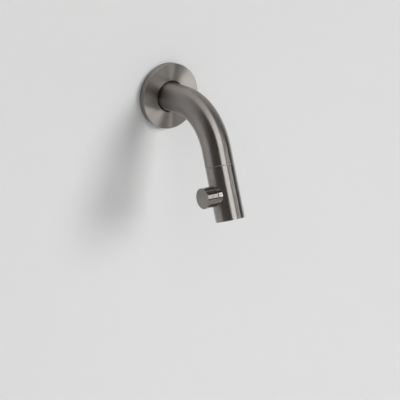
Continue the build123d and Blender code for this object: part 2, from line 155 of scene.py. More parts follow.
def brushedMetal(name, look):
    material, tree = newMaterial(name)
    marks = addNode(tree, "Attribute", attribute_name="turning").outputs["Vector"]
    across, drift, bandDrift = 1 / look["markWidth"], look["markDrift"], look["bandDrift"]
    toneLow, toneHigh = look["toneRange"]
    roughLow, roughHigh = look["roughRange"]
    fineMap = addNode(tree, "Mapping", {"Vector": marks, "Scale": (across, drift, drift)})
    fineLines = addNode(tree, "TexNoise", {"Vector": fineMap.outputs[0], "Scale": 1.0, "Detail": 3.0})
    broadMap = addNode(tree, "Mapping", {
        "Vector": marks, "Scale": (across / look["bandRatio"], bandDrift, bandDrift),
    })
    broadLines = addNode(tree, "TexNoise", {"Vector": broadMap.outputs[0], "Scale": 1.0, "Detail": 2.0})
    place = addNode(tree, "TexCoord").outputs["Object"]
    cloudScale = 1 / (look["cloudSize"] * mm)
    clouds = addNode(tree, "TexNoise", {"Vector": place, "Scale": cloudScale, "Detail": 2.0})
    lines = addNode(tree, "Math", {0: fineLines.outputs[0], 1: broadLines.outputs[0]}, operation="ADD")
    tone = addNode(tree, "MapRange", {
        "Value": lines.outputs[0], "From Min": toneLow, "From Max": toneHigh,
        "To Min": 0.0, "To Max": look["toneShare"],
    })
    toneAndClouds = addNode(tree, "Math", {0: tone.outputs[0], 1: clouds.outputs[0]}, operation="MULTIPLY")
    colour = addNode(tree, "Mix", {
        0: toneAndClouds.outputs[0], 6: hexColour(look["colour"]), 7: hexColour(look["deepColour"]),
    }, data_type="RGBA")
    rough = addNode(tree, "MapRange", {
        "Value": lines.outputs[0], "From Min": roughLow, "From Max": roughHigh,
        "To Min": look["roughness"] - look["roughSpread"] / 2,
        "To Max": look["roughness"] + look["roughSpread"] / 2,
    })
    bump = addNode(tree, "Bump", {
        "Strength": look["markStrength"], "Distance": look["markDepth"] * mm,
        "Height": fineLines.outputs[0],
    })
    tangent = addNode(tree, "Tangent", direction_type="UV_MAP", uv_map="marks")
    shader = addNode(tree, "BsdfPrincipled", {
        "Base Color": colour.outputs[2], "Metallic": 1.0, "Roughness": rough.outputs[0],
        "Anisotropic": look["anisotropy"], "Tangent": tangent.outputs[0], "Normal": bump.outputs[0],
    })
    addNode(tree, "OutputMaterial", {"Surface": shader.outputs[0]})
    return material


# The pieces inside. A grain is so many mm wide and deep, and all are drawn coarser than the real ones so that
# they show.
plain = {"cloudSize": 9.0, "grainRange": (0.3, 0.7), "roughShare": 0.15, "bumpStrength": 0.3}
plainFinishes = {
    # Plain stainless steel from the lathe: pale grey, and the tool's fine rings make it satin
    "steel": {
        "name": "turnedSteel", "colour": "#b4b1ac", "deepColour": "#96938e", "metallic": 1.0,
        "roughness": 0.30, "grain": 0.8, "depth": 0.02,
    },
    # Brass from the lathe, neither polished nor plated: yellow, satin, and a little darker where it has been
    # handled
    "brass": {
        "name": "turnedBrass", "colour": "#d8b873", "deepColour": "#b8934f", "metallic": 1.0,
        "roughness": 0.34, "grain": 1.2, "depth": 0.02,
    },
    # Alumina discs, lapped flat on each other: off-white, dense, with an even fine gloss
    "ceramic": {
        "name": "lappedCeramic", "colour": "#efece4", "deepColour": "#e2ded3", "metallic": 0.0,
        "roughness": 0.16, "grain": 0.3, "depth": 0.004,
    },
    # Vulcanised fibre pressed from sheet: red-brown and matt, with a short felted grain
    "fibre": {
        "name": "pressedFibre", "colour": "#8a4334", "deepColour": "#5f2b20", "metallic": 0.0,
        "roughness": 0.85, "grain": 0.5, "depth": 0.06,
    },
    # Nitrile rubber moulded in a steel tool: black, with the dull bloom of soft rubber
    "rubber": {
        "name": "mouldedRubber", "colour": "#1c1c1c", "deepColour": "#121212", "metallic": 0.0,
        "roughness": 0.55, "grain": 0.6, "depth": 0.02,
    },
    # Black acetal, injection moulded: smooth, slightly waxy, and a touch uneven where it shrank in the mould
    "plastic": {
        "name": "mouldedAcetal", "colour": "#2a2a2b", "deepColour": "#202021", "metallic": 0.0,
        "roughness": 0.42, "grain": 0.7, "depth": 0.015,
    },
}


def plainMaterial(look):
    material, tree = newMaterial(look["name"])
    grainLow, grainHigh = plain["grainRange"]
    place = addNode(tree, "TexCoord").outputs["Object"]
    grain = addNode(tree, "TexNoise", {"Vector": place, "Scale": 1 / (look["grain"] * mm), "Detail": 4.0})
    cloudScale = 1 / (plain["cloudSize"] * mm)
    clouds = addNode(tree, "TexNoise", {"Vector": place, "Scale": cloudScale, "Detail": 2.0})
    blend = addNode(tree, "Math", {0: grain.outputs[0], 1: clouds.outputs[0]}, operation="MULTIPLY")
    colour = addNode(tree, "Mix", {
        0: blend.outputs[0], 6: hexColour(look["colour"]), 7: hexColour(look["deepColour"]),
    }, data_type="RGBA")
    rough = addNode(tree, "MapRange", {
        "Value": grain.outputs[0], "From Min": grainLow, "From Max": grainHigh,
        "To Min": look["roughness"] * (1 - plain["roughShare"]),
        "To Max": look["roughness"] * (1 + plain["roughShare"]),
    })
    bump = addNode(tree, "Bump", {
        "Strength": plain["bumpStrength"], "Distance": look["depth"] * mm, "Height": grain.outputs[0],
    })
    shader = addNode(tree, "BsdfPrincipled", {
        "Base Color": colour.outputs[2], "Metallic": look["metallic"], "Roughness": rough.outputs[0],
        "Normal": bump.outputs[0],
    })
    addNode(tree, "OutputMaterial", {"Surface": shader.outputs[0]})
    return material


finishes = {
    "gunmetal": brushedMetal("brushedGunmetal", gunmetal),
    "fineGunmetal": brushedMetal("finelyTurnedGunmetal", fineGunmetal),
    "paintedRimHighlight": brushedMetal("rimMetalWithPaintedHighlight", paintedRimHighlight),
    "ringedBrass": brushedMetal("ringTurnedBrass", ringedBrass),
    "ringedSteel": brushedMetal("ringTurnedSteel", ringedSteel),
}
for slot, look in plainFinishes.items():
    finishes[slot] = plainMaterial(look)
print("materials made:", ", ".join(finishes))


# Shapes. Each works in millimetres in its own frame, with the turning axis along z.
def turned(profile, steps=spout["ringSteps"]):
    bm = bmesh.new()
    corners = [bm.verts.new((radius, 0, height)) for radius, height in profile]
    pairs = zip(corners, corners[1:] + corners[:1])
    edges = [bm.edges.new(pair) for pair in pairs if pair[0].co.x > 0 or pair[1].co.x > 0]
    bmesh.ops.spin(
        bm, geom=corners + edges, cent=(0, 0, 0), axis=(0, 0, 1), angle=2 * pi, steps=steps, use_merge=True
    )
    bmesh.ops.remove_doubles(bm, verts=bm.verts, dist=mergeGap)
    bmesh.ops.recalc_face_normals(bm, faces=bm.faces)
    return bm


def roundCorners(bm, corners, width, segments=3):
    def at(vert, corner):
        return abs(vert.co.xy.length - corner[0]) < hair and abs(vert.co.z - corner[1]) < hair

    edges = [e for e in bm.edges if any(all(at(v, corner) for v in e.verts) for corner in corners)]
    bmesh.ops.bevel(
        bm, geom=edges, offset=width, segments=segments, profile=0.5, affect="EDGES", material=-1
    )
    return bm


def rod(radius, start, end, steps=sides["rod"]):
    bm = bmesh.new()
    middle = Matrix.Translation((0, 0, (start + end) / 2))
    bmesh.ops.create_cone(
        bm, cap_ends=True, segments=steps, radius1=radius, radius2=radius, depth=end - start, matrix=middle
    )
    return bm


def hexagonRod(acrossFlats, start, end):
    return rod(acrossFlats / 2 / cos(pi / 6), start, end, steps=6)


def block(size, centre):
    bm = bmesh.new()
    bmesh.ops.create_cube(bm, size=1, matrix=Matrix.Translation(centre) @ Matrix.Diagonal((*size, 1)))
    return bm


def placed(bm, matrix):
    bmesh.ops.transform(bm, matrix=matrix, verts=bm.verts)
    return bm


def looseObject(bm):
    mesh = bpy.data.meshes.new("loose")
    bm.to_mesh(mesh)
    bm.free()
    obj = bpy.data.objects.new("loose", mesh)
    scene.collection.objects.link(obj)
    return obj


def checkClosed(name, bm):
    loose = sum(not edge.is_contiguous for edge in bm.edges)
    volume = round(bm.calc_volume(signed=True), 1)
    print("  ", name, "edges that aren't closed:", loose, "volume:", volume, "mm3")


# Cuts the tools out of a shape, or joins them to it, and clears the helper objects away
def combined(bm, tools, operation="DIFFERENCE"):
    base = looseObject(bm)
    helpers = [looseObject(tool) for tool in tools]
    for helper in helpers:
        modifier = base.modifiers.new("shape", "BOOLEAN")
        modifier.operation = operation
        modifier.object = helper
        modifier.solver = "EXACT"
    shaped = bpy.data.meshes.new_from_object(base.evaluated_get(bpy.context.evaluated_depsgraph_get()))
    result = bmesh.new()
    result.from_mesh(shaped)
    for obj in [base, *helpers]:
        bpy.data.meshes.remove(obj.data)
    bpy.data.meshes.remove(shaped)
    bmesh.ops.remove_doubles(result, verts=result.verts, dist=mergeGap)
    return result


# The turning marks: how far along the turned shape a point lies, and where round it. One step of the map is
# 100 mm.
mapStep = 100.0


def turningMarks(mesh, unroll):
    attribute = mesh.attributes.new("turning", "FLOAT_VECTOR", "CORNER")
    uv = mesh.uv_layers.new(name="marks")
    for face in mesh.polygons:
        points = [unroll(mesh.vertices[index].co) for index in face.vertices]
        heights = [p.z for p in points]
        radii = [p.xy.length for p in points]
        onEnd = max(heights) - min(heights) < max(radii) - min(radii)
        centre = sum(points, Vector()) / len(points)
        middle = atan2(centre.y, centre.x)
        for loop, p in zip(face.loop_indices, points):
            along = p.xy.length if onEnd else p.z
            swing = (atan2(p.y, p.x) - middle + pi) % (2 * pi) - pi
            attribute.data[loop].vector = (along, p.x, p.y)
            uv.data[loop].uv = (along / mapStep, (middle + swing) * spout["pipe"] / 2 / mapStep)


def sameFrame(point):
    return point.copy()


def onJointRim(frame):
    outer = spout["pipe"] / 2 - spout["jointBevel"] - near
    toHead = headFrame.inverted() @ frame

    def test(points):
        spots = [toHead @ p for p in points]
        return all(abs(s.z) < spout["jointBevel"] + near and s.xy.length > outer for s in spots)

    return test


def finished(name, bm, place, body, slot, replaced, finish=None, unroll=sameFrame, zones=()):
    checkClosed(name, bm)
    for face in bm.faces:
        face.smooth = True
    for edge in bm.edges:
        edge.smooth = edge.calc_face_angle(0) < sharpTurn
    mesh = bpy.data.meshes.new(name)
    bm.to_mesh(mesh)
    bm.free()
    obj = bpy.data.objects.new(name, mesh)
    scene.collection.objects.link(obj)
    weighted = obj.modifiers.new("evenShading", "WEIGHTED_NORMAL")
    weighted.keep_sharp = True
    weighted.weight = 100
    shaded = bpy.data.meshes.new_from_object(obj.evaluated_get(bpy.context.evaluated_depsgraph_get()))
    obj.modifiers.clear()
    obj.data = shaded
    bpy.data.meshes.remove(mesh)
    shaded.name = name
    turningMarks(shaded, unroll)
    shaded.materials.append(finishes[finish or slot])
    for index, (zoneFinish, inZone) in enumerate(zones, start=1):
        shaded.materials.append(finishes[zoneFinish])
        for face in shaded.polygons:
            if inZone([shaded.vertices[corner].co for corner in face.vertices]):
                face.material_index = index
    shaded.transform(Matrix.Scale(mm, 4) @ place)
    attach(obj, body)
    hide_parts(*replaced)
    print("piece:", name, len(shaded.polygons), "faces")
    return obj


# Grub screws with a hexagon socket: one locks the spout on its nipple from below, one holds the knob
spoutScrew = {
    "diameter": 4.0, "gap": 0.05, "head": 11.7, "tip": 6.85, "point": 2.0, "cone": 1.3,
    "key": 2.0, "keyDepth": 1.8, "place": 3.2,
}
knobScrew = {
    "diameter": 3.0, "gap": 0.05, "head": 8.2, "tip": 3.05, "point": 2.2, "cone": 0.5,
    "key": 1.5, "keyDepth": 1.4,
}
belowSpout = Matrix.Translation((0, 0, spoutScrew["place"])) @ Matrix.Rotation(pi / 2, 4, "X")


def makeGrubScrew(name, size, place, body, replaced):
    radius, point, head = size["diameter"] / 2, size["point"] / 2, size["head"]
    bm = turned([
        (0, size["tip"]), (point, size["tip"]), (radius, size["tip"] + size["cone"]), (radius, head),
        (0, head),
    ], steps=sides["small"])
    roundCorners(bm, [(radius, head)], softEdge)
    bm = combined(bm, [hexagonRod(size["key"], head - size["keyDepth"], head + overrun)])
    return finished(name, bm, place, body, "steel", [replaced], finish="ringedSteel")


def makeSpoutScrew():
    return makeGrubScrew("spoutGrubScrew", spoutScrew, wallFrame @ belowSpout, "spout", "spout_grub_screw")


# The nipple that screws into the wall fitting, with its real G 1/2 pipe thread, and the gasket under its
# collar
nipple = {
    "thread": 20.955, "pitch": 1.814, "threadDepth": 1.162, "flankAngle": 27.5, "threadEnd": -19.0,
    "threadStart": -6.5, "chamfer": 1.0, "runOut": 0.9, "runOutLap": 0.2, "stepsPerTurn": 60,
    # the ridge reaches this far into the core, and its crest has its corners taken off
    "rootLap": 0.3, "crestDrop": 0.06, "crestOut": 0.03, "crestIn": 0.09,
    "relief": 18.555, "collar": 24.595, "collarBack": -3.5, "spigot": 16.0, "spigotEnd": 15.8, "lead": 0.6,
    "inlet": 12.0, "inletDepth": 17.0, "bore": 8.6, "key": 10.0, "keyDepth": 5.5,
    "ringSection": 1.5, "ringPlaces": (8.0, 12.0), "grooveShare": 0.75, "lockDepth": 1.2, "lockFlat": 2.0,
}
gasket = {"outer": 24.595, "inner": 21.395, "back": -5.0, "thickness": 1.5}


def threadRidge():
    root, crest = nipple["thread"] / 2 - nipple["threadDepth"], nipple["thread"] / 2
    flank = nipple["threadDepth"] * tan(radians(nipple["flankAngle"]))
    flat = (nipple["pitch"] - 2 * flank) / 2  # the same at crest and root
    foot, top = flat / 2 + flank, flat / 2
    start = nipple["threadEnd"] - nipple["pitch"]
    turns = (nipple["threadStart"] - start) / nipple["pitch"] + 1
    inside, shoulder = root - nipple["rootLap"], crest - nipple["crestDrop"]
    shoulderSide, crestSide = top + nipple["crestOut"], top - nipple["crestIn"]
    outline = [
        (inside, -foot), (root, -foot), (shoulder, -shoulderSide), (crest, -crestSide), (crest, crestSide),
        (shoulder, shoulderSide), (root, foot), (inside, foot),
    ]
    bm = bmesh.new()
    face = bm.faces.new([bm.verts.new((radius, 0, start + height)) for radius, height in outline])
    steps = round(turns * nipple["stepsPerTurn"])
    bmesh.ops.spin(
        bm, geom=[face, *face.edges, *face.verts], cent=(0, 0, 0), axis=(0, 0, 1),
        angle=2 * pi * turns, dvec=(0, 0, nipple["pitch"] * turns / steps), steps=steps,
    )
    bmesh.ops.recalc_face_normals(bm, faces=bm.faces)
    return bm


def makeWallNipple():
    spigot, end = nipple["spigot"] / 2, nipple["spigotEnd"]
    collar, relief, crest = nipple["collar"] / 2, nipple["relief"] / 2, nipple["thread"] / 2
    root = crest - nipple["threadDepth"]
    lock, lockLow = nipple["lockFlat"] / 2, spigot - nipple["lockDepth"]
    middle, last = spoutScrew["place"], nipple["threadEnd"]
    core = turned([
        (0, end), (spigot - nipple["lead"], end), (spigot, end - nipple["lead"]),
        (spigot, middle + lock + nipple["lockDepth"]), (lockLow, middle + lock), (lockLow, middle - lock),
        (spigot, middle - lock - nipple["lockDepth"]), (spigot, spout["standOff"]),
        (collar, spout["standOff"]), (collar, nipple["collarBack"]), (relief, nipple["collarBack"]),
        (relief, nipple["threadStart"]), (root, nipple["threadStart"]), (root, last), (0, last),
    ], steps=sides["large"])
    roundCorners(core, [(collar, spout["standOff"]), (collar, nipple["collarBack"])], softEdge, segments=2)
    runOutEnd = nipple["threadStart"] + nipple["runOutLap"]
    envelope = turned([
        (0, runOutEnd), (relief, runOutEnd), (crest, nipple["threadStart"] - nipple["runOut"]),
        (crest, last + nipple["chamfer"]), (crest - nipple["chamfer"], last), (0, last),
    ], steps=sides["large"])
    ridge = combined(threadRidge(), [envelope], "INTERSECT")
    bm = combined(core, [ridge], "UNION")
    tools = [
        rod(nipple["inlet"] / 2, last - overrun, last + nipple["inletDepth"], sides["middle"]),
        rod(nipple["bore"] / 2, last, end + overrun, sides["middle"]),
        hexagonRod(nipple["key"], end - nipple["keyDepth"], end + overrun),
    ]
    half = nipple["ringSection"] * nipple["grooveShare"]
    bottom, outside = spigot - nipple["ringSection"], spigot + overrun
    for place in nipple["ringPlaces"]:
        tools.append(turned([
            (outside, place - half), (outside, place + half), (bottom, place + half), (bottom, place - half),
        ], steps=sides["middle"]))
    return finished(
        "wallNipple", combined(bm, tools), wallFrame, "spout", "brass", ["wall_nipple"],
        finish="ringedBrass",
    )


def makeGasket():
    outer, inner, back = gasket["outer"] / 2, gasket["inner"] / 2, gasket["back"]
    front = back + gasket["thickness"]
    bm = turned([(outer, back), (outer, front), (inner, front), (inner, back)], steps=sides["large"])
    roundCorners(bm, [(outer, back), (inner, back), (outer, front)], softEdge, segments=2)
    return finished("inletGasket", bm, wallFrame, "spout", "fibre", ["inlet_gasket"])


# The bent pipe, drawn in the wall frame
def facesOf(geometry):
    return [item for item in geometry if isinstance(item, bmesh.types.BMFace)]


def makeSpoutPipe():
    outer, inner = spout["pipe"] / 2, spout["pipe"] / 2 - spout["wall"]
    bm = bmesh.new()
    ends = [bm.verts.new((radius, 0, spout["standOff"])) for radius in (inner, outer)]
    bmesh.ops.spin(
        bm, geom=[*ends, bm.edges.new(ends)], cent=(0, 0, 0), axis=(0, 0, 1), angle=2 * pi,
        steps=spout["ringSteps"], use_merge=True,
    )
    bmesh.ops.remove_doubles(bm, verts=bm.verts, dist=mergeGap)

    def pushed(section, offset):
        made = bmesh.ops.extrude_face_region(bm, geom=section)["geom"]
        corners = [item for item in made if isinstance(item, bmesh.types.BMVert)]
        bmesh.ops.translate(bm, verts=corners, vec=offset)
        return facesOf(made)

    bendStart = pushed(bm.faces[:], Vector((0, 0, spout["wallLeg"] - spout["standOff"])))
    bendStop = facesOf(bmesh.ops.spin(
        bm, geom=bendStart, cent=(0, -spout["bendRadius"], spout["wallLeg"]), axis=(1, 0, 0), angle=bend,
        steps=spout["bendSteps"],
    )["geom_last"])
    pushed(bendStop, Vector((0, -sin(bend), cos(bend))) * spout["headLeg"])
    inside = [face for face in bendStart + bendStop if face.is_valid]
    bmesh.ops.delete(bm, geom=inside, context="FACES_ONLY")
    bmesh.ops.recalc_face_normals(bm, faces=bm.faces)
    jointFace = wallFrame.inverted() @ jointPoint
    rim = [
        e for e in bm.edges if all(abs((v.co - jointFace).length - outer) < near for v in e.verts)
        and e.calc_face_angle(0) > sharpTurn
    ]
    bmesh.ops.bevel(
        bm, geom=rim, offset=spout["jointBevel"], segments=1, profile=0.5, affect="EDGES", material=-1
    )
    holeRadius = spoutScrew["diameter"] / 2 + spoutScrew["gap"]
    hole = rod(holeRadius, inner - overrun, outer + overrun, sides["small"])
    bm = combined(bm, [placed(hole, belowSpout)])
    return finished(
        "spoutPipe", bm, wallFrame, "spout", "gunmetal", ["spout_pipe"], unroll=straightened,
        # the joint's chamfers take the paler metal that paints in their highlight
        zones=[("paintedRimHighlight", onJointRim(wallFrame))],
    )


# Where a point of the bent pipe would lie if the pipe were straight, so that the marks follow the bend
def straightened(point):
    centre = Vector((0, -spout["bendRadius"], spout["wallLeg"]))
    if point.z <= centre.z and point.y > centre.y:
        return point.copy()
    offset = point - centre
    turn = min(max(atan2(offset.z, offset.y), 0), bend)
    level = Matrix.Rotation(turn, 4, "X").inverted() @ offset
    along = spout["wallLeg"] + turn * spout["bendRadius"] + level.z
    return Vector((point.x, level.y - spout["bendRadius"], along))


# The rosette that covers the hole in the wall, with its groove for the rubber ring
rosette = {
    "diameter": 55.0, "depth": 6.0, "plate": 1.8, "rim": 1.8, "gap": 1.4, "hubWall": 3.0, "hubDepth": 3.6,
    "edge": 0.25, "grooveFront": 0.55, "grooveWidth": 2.34, "steps": 192,
    "ring": 2.3, "ringGap": 0.1, "ringSquash": 1.04, "ringSides": 20,
}


def makeRosette():
    outer, depth = rosette["diameter"] / 2, rosette["depth"]
    bore = spout["pipe"] / 2 + rosette["gap"]
    hub, hubBack = bore + rosette["hubWall"], depth - rosette["hubDepth"]
    plateBack = depth - rosette["plate"]
    front = depth - rosette["grooveFront"]
    back = front - rosette["grooveWidth"]
    bottom = spout["pipe"] / 2 + rosette["ringGap"] + rosette["grooveWidth"]
    inner = outer - rosette["rim"]
    bm = turned([
        (outer, 0), (outer, depth), (bore, depth), (bore, front), (bottom, front), (bottom, back),
        (bore, back), (bore, hubBack), (hub, hubBack), (hub, plateBack), (inner, plateBack), (inner, 0),
    ], steps=rosette["steps"])
    roundCorners(bm, [(outer, depth), (bore, depth)], rosette["edge"])
    roundCorners(bm, [(inner, plateBack), (hub, hubBack), (bore, hubBack)], softEdge, segments=2)
    return finished("wallRosette", bm, wallFrame, "rosette", "gunmetal", ["wall_rosette"])


def makeRosetteRing():
    middle = spout["pipe"] / 2 + rosette["ringGap"] + rosette["ring"] / 2
    height = rosette["depth"] - rosette["grooveFront"] - rosette["grooveWidth"] / 2
    half = rosette["ring"] / 2
    bm = bmesh.new()
    stand = Matrix.Translation((middle, 0, height)) @ Matrix.Rotation(pi / 2, 4, "X")
    bmesh.ops.create_circle(
        bm, segments=rosette["ringSides"], radius=half * rosette["ringSquash"], matrix=stand
    )
    for vert in bm.verts:  # squeezed flat between pipe and groove
        vert.co.x = min(max(vert.co.x, middle - half), middle + half)
        vert.co.z = min(max(vert.co.z, height - half), height + half)
    bmesh.ops.spin(
        bm, geom=bm.verts[:] + bm.edges[:], cent=(0, 0, 0), axis=(0, 0, 1), angle=2 * pi,
        steps=sides["large"], use_merge=True,
    )
    bmesh.ops.remove_doubles(bm, verts=bm.verts, dist=mergeGap)
    bmesh.ops.recalc_face_normals(bm, faces=bm.faces)
    return finished("rosetteRing", bm, wallFrame, "rosette", "rubber", ["rosette_o_ring"])


# The valve head, with the boss for the knob on its side and the aerator's mouth below
head = {
    "boss": 17.0, "bossHeight": 0.4, "bossRoot": 4.0, "edge": 0.25, "outletEdge": 0.5,
    "connectorThread": 18.1, "threadDepth": 7.05, "land": 16.2, "landDepth": 13.0,
    "cartridge": 13.0, "seat": 3.2, "pocket": 7.2, "pocketDepth": 6.2,
    "channel": 4.6, "channelPlace": 7.2, "passage": 7.2, "passagePlace": 1.5,
    "chamber": 14.4, "chamberTop": 32.0, "mouth": 18.6, "mouthDepth": 10.0,
}


# The boss's own place in the head, with z out to the knob
def acrossHead():
    knobHeight = spout["headLength"] - spout["knobPlace"]
    return axesFrame((0, 0, knobHeight), (0, 0, 1), (-1, 0, 0))


def makeValveHead():
    outer, length = spout["pipe"] / 2, spout["headLength"]
    shoulder = length - head["mouthDepth"]
    bm = turned([
        (outer, 0), (outer, length), (head["mouth"] / 2, length), (head["mouth"] / 2, shoulder),
        (head["chamber"] / 2, shoulder), (head["chamber"] / 2, head["chamberTop"]), (0, head["chamberTop"]),
        (0, head["landDepth"]), (head["land"] / 2, head["landDepth"]),
        (head["land"] / 2, head["threadDepth"]), (head["connectorThread"] / 2, head["threadDepth"]),
        (head["connectorThread"] / 2, 0),
    ])
    roundCorners(bm, [(outer, 0)], spout["jointBevel"], segments=1)
    roundCorners(bm, [(outer, length), (head["mouth"] / 2, length)], head["outletEdge"])
    bossEnd = outer + head["bossHeight"]
    root, side = head["bossRoot"], head["boss"] / 2
    boss = turned([(0, root), (side, root), (side, bossEnd), (0, bossEnd)], steps=sides["large"])
    roundCorners(boss, [(side, bossEnd)], head["edge"])
    bm = combined(bm, [placed(boss, acrossHead())], "UNION")
    knobHeight = length - spout["knobPlace"]
    cartridge = rod(head["cartridge"] / 2, -head["seat"], bossEnd + overrun, sides["large"])
    pocket = rod(head["pocket"] / 2, -head["seat"] - head["pocketDepth"], 0)
    channel = rod(head["channel"] / 2, head["landDepth"] - overrun, knobHeight)
    passage = rod(head["passage"] / 2, knobHeight, head["chamberTop"] + overrun)
    bm = combined(bm, [
        placed(cartridge, acrossHead()),
        placed(pocket, acrossHead()),
        placed(channel, Matrix.Translation((head["channelPlace"], 0, 0))),
        placed(passage, Matrix.Translation((-head["passagePlace"], 0, 0))),
    ])
    return finished(
        "valveHead", bm, headFrame, "spout", "gunmetal", ["valve_head"], unroll=headOrBoss,
        # the joint's chamfers take the paler metal that paints in their highlight
        zones=[("fineGunmetal", onBossSide), ("paintedRimHighlight", onJointRim(headFrame))],
    )


def onBossSide(points):
    toBoss = acrossHead().inverted()
    spots = [toBoss @ p for p in points]
    side, band = head["boss"] / 2, head["edge"] + near
    return all(s.z > head["bossRoot"] and abs(s.xy.length - side) < band for s in spots)


# The marks run round the boss on the boss, and round the head on the rest
def headOrBoss(point):
    if point.xy.length > spout["pipe"] / 2 + 2 * near:
        return acrossHead().inverted() @ point
    return point.copy()


# The knob and the plastic ring that it glides on
knob = {
    "diameter": 17.0, "reach": 11.2, "edge": 0.25, "mouth": 11.0, "mouthDepth": 1.6, "faceThickness": 2.0,
    "teeth": 18, "spline": 6.2, "splineDepth": 0.4, "glide": 0.4, "glideWidth": 1.1, "grubPlace": 5.0,
    "grubAngle": -45.0, "gap": 0.05,
}


def splineRod(start, end):
    bm = rod(knob["spline"] / 2, start, end, steps=2 * knob["teeth"])
    for vert in bm.verts:
        tooth = round((atan2(vert.co.y, vert.co.x) % (2 * pi)) * knob["teeth"] / pi)
        if tooth % 2 == 0:
            vert.co.xy *= 1 - 2 * knob["splineDepth"] / knob["spline"]
    return bm


def makeKnob():
    bossEnd = spout["pipe"] / 2 + head["bossHeight"]
    start = bossEnd + knob["glide"] + knob["gap"]
    end = spout["pipe"] / 2 + knob["reach"]
    radius, mouth = knob["diameter"] / 2, knob["mouth"] / 2
    bm = turned([
        (radius, start), (radius, end), (0, end), (0, start + knob["mouthDepth"]),
        (mouth, start + knob["mouthDepth"]), (mouth, start),
    ])
    roundCorners(bm, [(radius, start), (radius, end)], knob["edge"])
    screwHole = rod(knobScrew["diameter"] / 2 + knobScrew["gap"], 0, radius + overrun, sides["small"])
    bm = combined(bm, [
        splineRod(start + knob["mouthDepth"] - overrun, end - knob["faceThickness"]),
        placed(screwHole, acrossKnob()),
    ])
    return finished(
        "turnedKnob", bm, knobFrame, "handle", "gunmetal", ["knob"],
        zones=[("fineGunmetal", onKnobSide)],
    )


# The grub screw's own place in the knob, with z out to its head
def acrossKnob():
    height = spout["pipe"] / 2 + head["bossHeight"] + knob["glide"] + knob["gap"] + knob["grubPlace"]
    turn = Matrix.Rotation(radians(knob["grubAngle"]), 4, "Z") @ Matrix.Rotation(pi / 2, 4, "Y")
    return Matrix.Translation((0, 0, height)) @ turn


def onKnobSide(points):
    return all(p.xy.length > knob["diameter"] / 2 - near for p in points)


def makeKnobScrew():
    return makeGrubScrew("knobGrubScrew", knobScrew, knobFrame @ acrossKnob(), "handle", "knob_grub_screw")


def makeGlideRing():
    bossEnd = spout["pipe"] / 2 + head["bossHeight"]
    outer = head["boss"] / 2 - head["edge"]
    inner, end = outer - knob["glideWidth"], bossEnd + knob["glide"]
    bm = turned([(outer, bossEnd), (outer, end), (inner, end), (inner, bossEnd)])
    return finished("knobGlideRing", bm, knobFrame, "spout", "plastic", ["knob_glide_ring"])


# Aerator in the outlet, seen from below
aerator = {
    "thread": 18.5, "top": 36.5, "end": 44.2, "wall": 1.3, "lip": 11.0, "lipThickness": 1.0,
    "slots": 4, "firstSlot": 45, "slotWidth": 2.0, "slotDepth": 0.9,
    "gridThickness": 2.6, "cell": 1.8, "web": 0.4, "cellEdge": 0.08, "gap": 0.1,
}


def makeAeratorHousing():
    outer = aerator["thread"] / 2
    bore, lip = outer - aerator["wall"], aerator["lip"] / 2
    under = aerator["top"] + aerator["lipThickness"]
    bm = turned([
        (lip, aerator["top"]), (outer, aerator["top"]), (outer, aerator["end"]), (bore, aerator["end"]),
        (bore, under), (lip, under),
    ], steps=sides["middle"])
    roundCorners(bm, [(outer, aerator["end"]), (bore, aerator["end"])], softEdge)
    size = (2 * aerator["wall"], aerator["slotWidth"], 2 * aerator["slotDepth"])
    slots = []
    for index in range(aerator["slots"]):
        angle = radians(aerator["firstSlot"]) + index * 2 * pi / aerator["slots"]
        slot = block(size, (outer, 0, aerator["end"]))
        slots.append(placed(slot, Matrix.Rotation(angle, 4, "Z")))
    bm = combined(bm, slots)
    return finished("aeratorHousing", bm, headFrame, "spout", "plastic", ["aerator_housing"])


def makeAeratorGrid():
    outer = aerator["thread"] / 2 - aerator["wall"] - aerator["gap"]
    start = aerator["end"] - aerator["gridThickness"]
    pitch = aerator["cell"] + aerator["web"]
    corner = aerator["cell"] / 2 / cos(pi / 6)
    reach = int(outer / pitch) + 1
    cells = bmesh.new()
    for row in range(-reach, reach + 1):
        for column in range(-reach, reach + 1):
            x, y = pitch * (column + 0.5 * (row % 2)), pitch * row * sin(pi / 3)
            if Vector((x, y)).length + corner < outer - aerator["web"]:
                middle = Matrix.Translation((x, y, (start + aerator["end"]) / 2))
                bmesh.ops.create_cone(
                    cells, cap_ends=True, segments=6, radius1=corner, radius2=corner,
                    depth=aerator["gridThickness"] + 2 * overrun, matrix=middle,
                )
    bm = combined(rod(outer, start, aerator["end"], sides["middle"]), [cells])
    rims = [e for e in bm.edges if all(abs(v.co.z - aerator["end"]) < hair for v in e.verts)]
    bmesh.ops.bevel(
        bm, geom=rims, offset=aerator["cellEdge"], segments=2, profile=0.5, affect="EDGES", material=-1
    )
    return finished("aeratorGrid", bm, headFrame, "spout", "plastic", ["aerator_grid"])


for make in (
    makeWallNipple, makeGasket, makeSpoutScrew, makeSpoutPipe, makeRosette, makeRosetteRing,
    makeValveHead, makeKnob, makeKnobScrew, makeGlideRing, makeAeratorHousing, makeAeratorGrid,
):
    make()


# The nodes that stay take their slot's finish. Those that the pieces above replace are hidden.
for entry in frame["record"]["subparts"]:
    node = frame["nodes"][entry["node"]]
    slot = entry["material_slot"]
    material = finishes["steel" if slot == "gunmetal" else slot]
    if node.material_slots:
        for holder in node.material_slots:
            holder.material = material
    else:
        node.data.materials.append(material)


# Stage: a pale painted wall that is open from behind, with the hole that the rosette covers, and a pale floor
# that is open from below. Its sizes are in metres.
stage = {
    "wall": "#efefef", "floor": "#e4e4e3", "wallRadius": 3.2, "wallHole": 0.0252, "wallGap": 0.0003,
    "wallSides": 96, "floorDrop": 0.45, "floorSize": 5.0,
    "plasterSize": 0.0038, "plasterDepth": 0.0006, "plasterStrength": 0.12, "roughness": 0.8,
    "room": "#ffffff", "roomStrength": 0.035,
}


